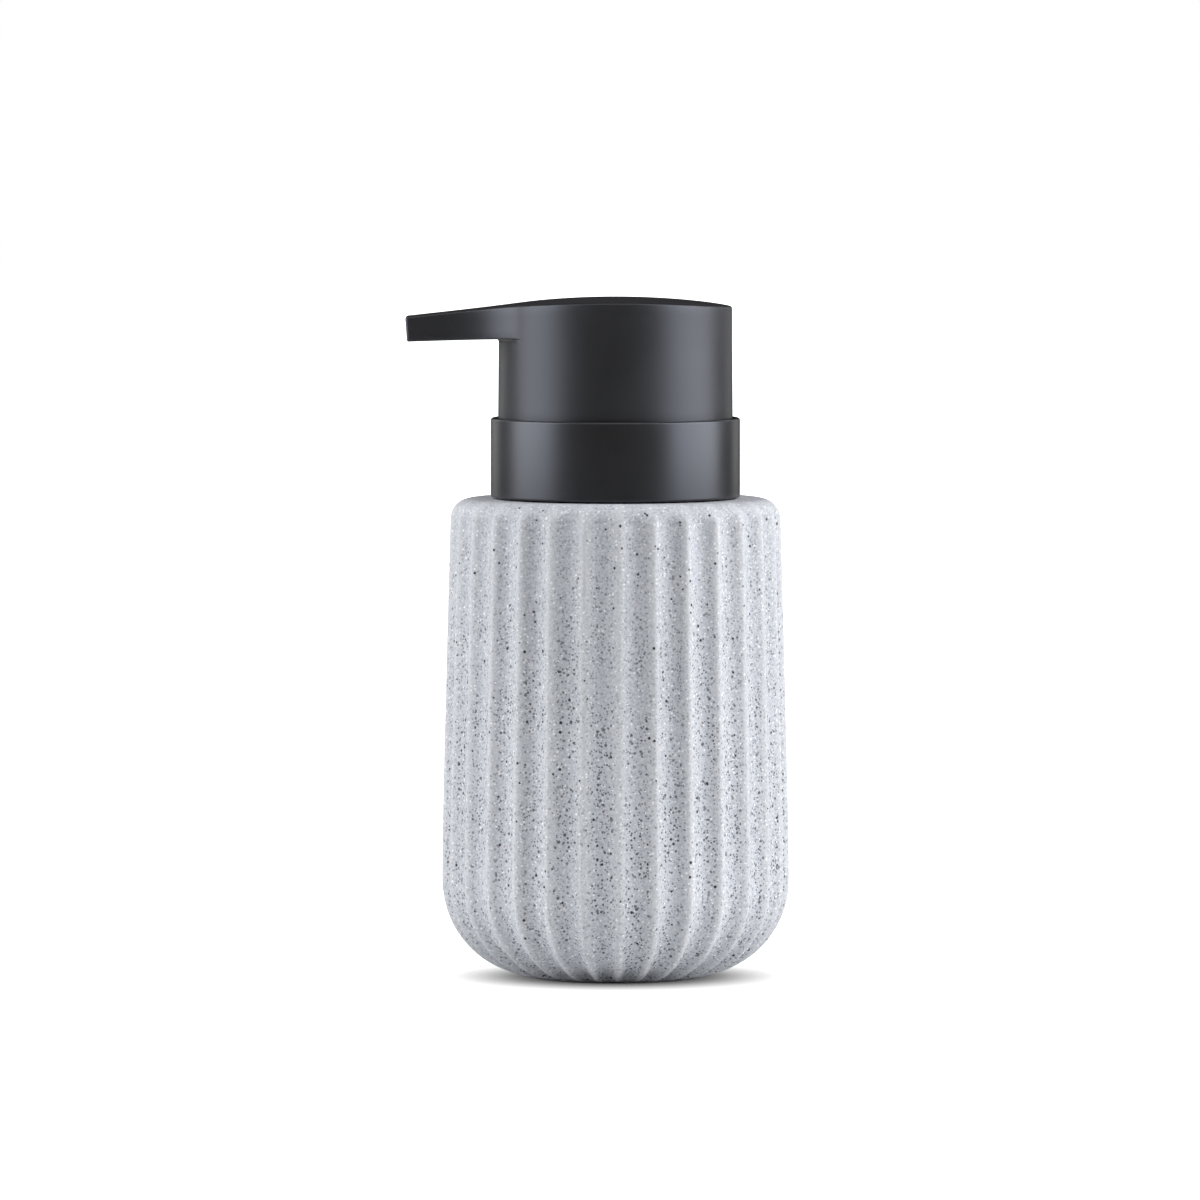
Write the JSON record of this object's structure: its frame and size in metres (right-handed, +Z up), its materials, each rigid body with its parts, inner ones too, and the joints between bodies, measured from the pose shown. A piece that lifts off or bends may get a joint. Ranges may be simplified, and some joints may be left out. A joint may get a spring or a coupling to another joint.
{
  "type": "soap pump dispenser",
  "caption": "Fluted cast-stone counter-top jar with a matt black screw-on lotion pump: pressing the round head with its long side spout draws soap and springs back.",
  "frame": {"origin": "on the jar's axis, at the surface that the dispenser stands on", "axes": "+Z up along the jar's axis; the spout points along -X at rest"},
  "size_m": [0.0847, 0.077, 0.1496],
  "materials": {
    "cast_stone": "light grey cast resin stone, matt, with fine dark and pale specks",
    "pad_rubber": "grey foam rubber, matt",
    "natural_plastic": "natural milky polypropylene, semi-gloss",
    "seal_foam": "white closed-cell foam",
    "black_plastic": "black polypropylene, satin",
    "soft_black": "matt black soft-touch coating",
    "seal_rubber": "black lip-seal rubber",
    "ball_steel": "bright stainless steel",
    "clear_plastic": "translucent polyethylene",
    "spring_steel": "drawn stainless spring wire",
    "seal_plastic": "white low-density polyethylene"
  },
  "bodies": {
    "bottle": {"vessel": "cast_stone", "base_pad": "pad_rubber", "neck_insert": "natural_plastic"},
    "pump": {"neck_gasket": "seal_foam", "pump_housing": "natural_plastic", "chaplet": "natural_plastic", "stem_wiper": "seal_rubber", "valve_retainer": "natural_plastic", "dip_tube": "clear_plastic"},
    "collar": {"screw_cap": "black_plastic", "collar_shell": "soft_black"},
    "spring": {"return_spring": "spring_steel"},
    "head": {"head_shell": "soft_black", "actuator_core": "black_plastic", "spout_tube": "clear_plastic", "nozzle_insert": "black_plastic", "stem": "natural_plastic", "piston_rod": "natural_plastic"},
    "piston": {"piston": "seal_plastic"},
    "inlet_ball": {"inlet_ball": "ball_steel"}
  },
  "joints": [
    {"name": "pump_rise", "type": "slide", "parent": "bottle", "child": "pump", "axis": [0, 0, 1], "range_m": [0, 0.00526]},
    {"name": "collar_turn", "type": "hinge", "parent": "pump", "child": "collar", "pos_m": [0, 0, 0.115], "axis": [0, 0, 1], "range_deg": [0, 450]},
    {"name": "head_swivel", "type": "hinge", "parent": "pump", "child": "spring", "pos_m": [0, 0, 0.115], "axis": [0, 0, 1], "continuous": true},
    {"name": "head_press", "type": "slide", "parent": "spring", "child": "head", "axis": [0, 0, -1], "range_m": [0, 0.012], "stiffness_N_per_m": 900, "springref_m": -0.01, "deforming": ["return_spring"]},
    {"name": "piston_lag", "type": "slide", "parent": "head", "child": "piston", "axis": [0, 0, 1], "range_m": [0, 0.0012]},
    {"name": "ball_lift", "type": "slide", "parent": "pump", "child": "inlet_ball", "axis": [0, 0, 1], "range_m": [0, 0.0015]}
  ],
  "couplings": [
    {"joint": "pump_rise", "follows": "collar_turn", "m_per_rad": 0.00066845}
  ]
}
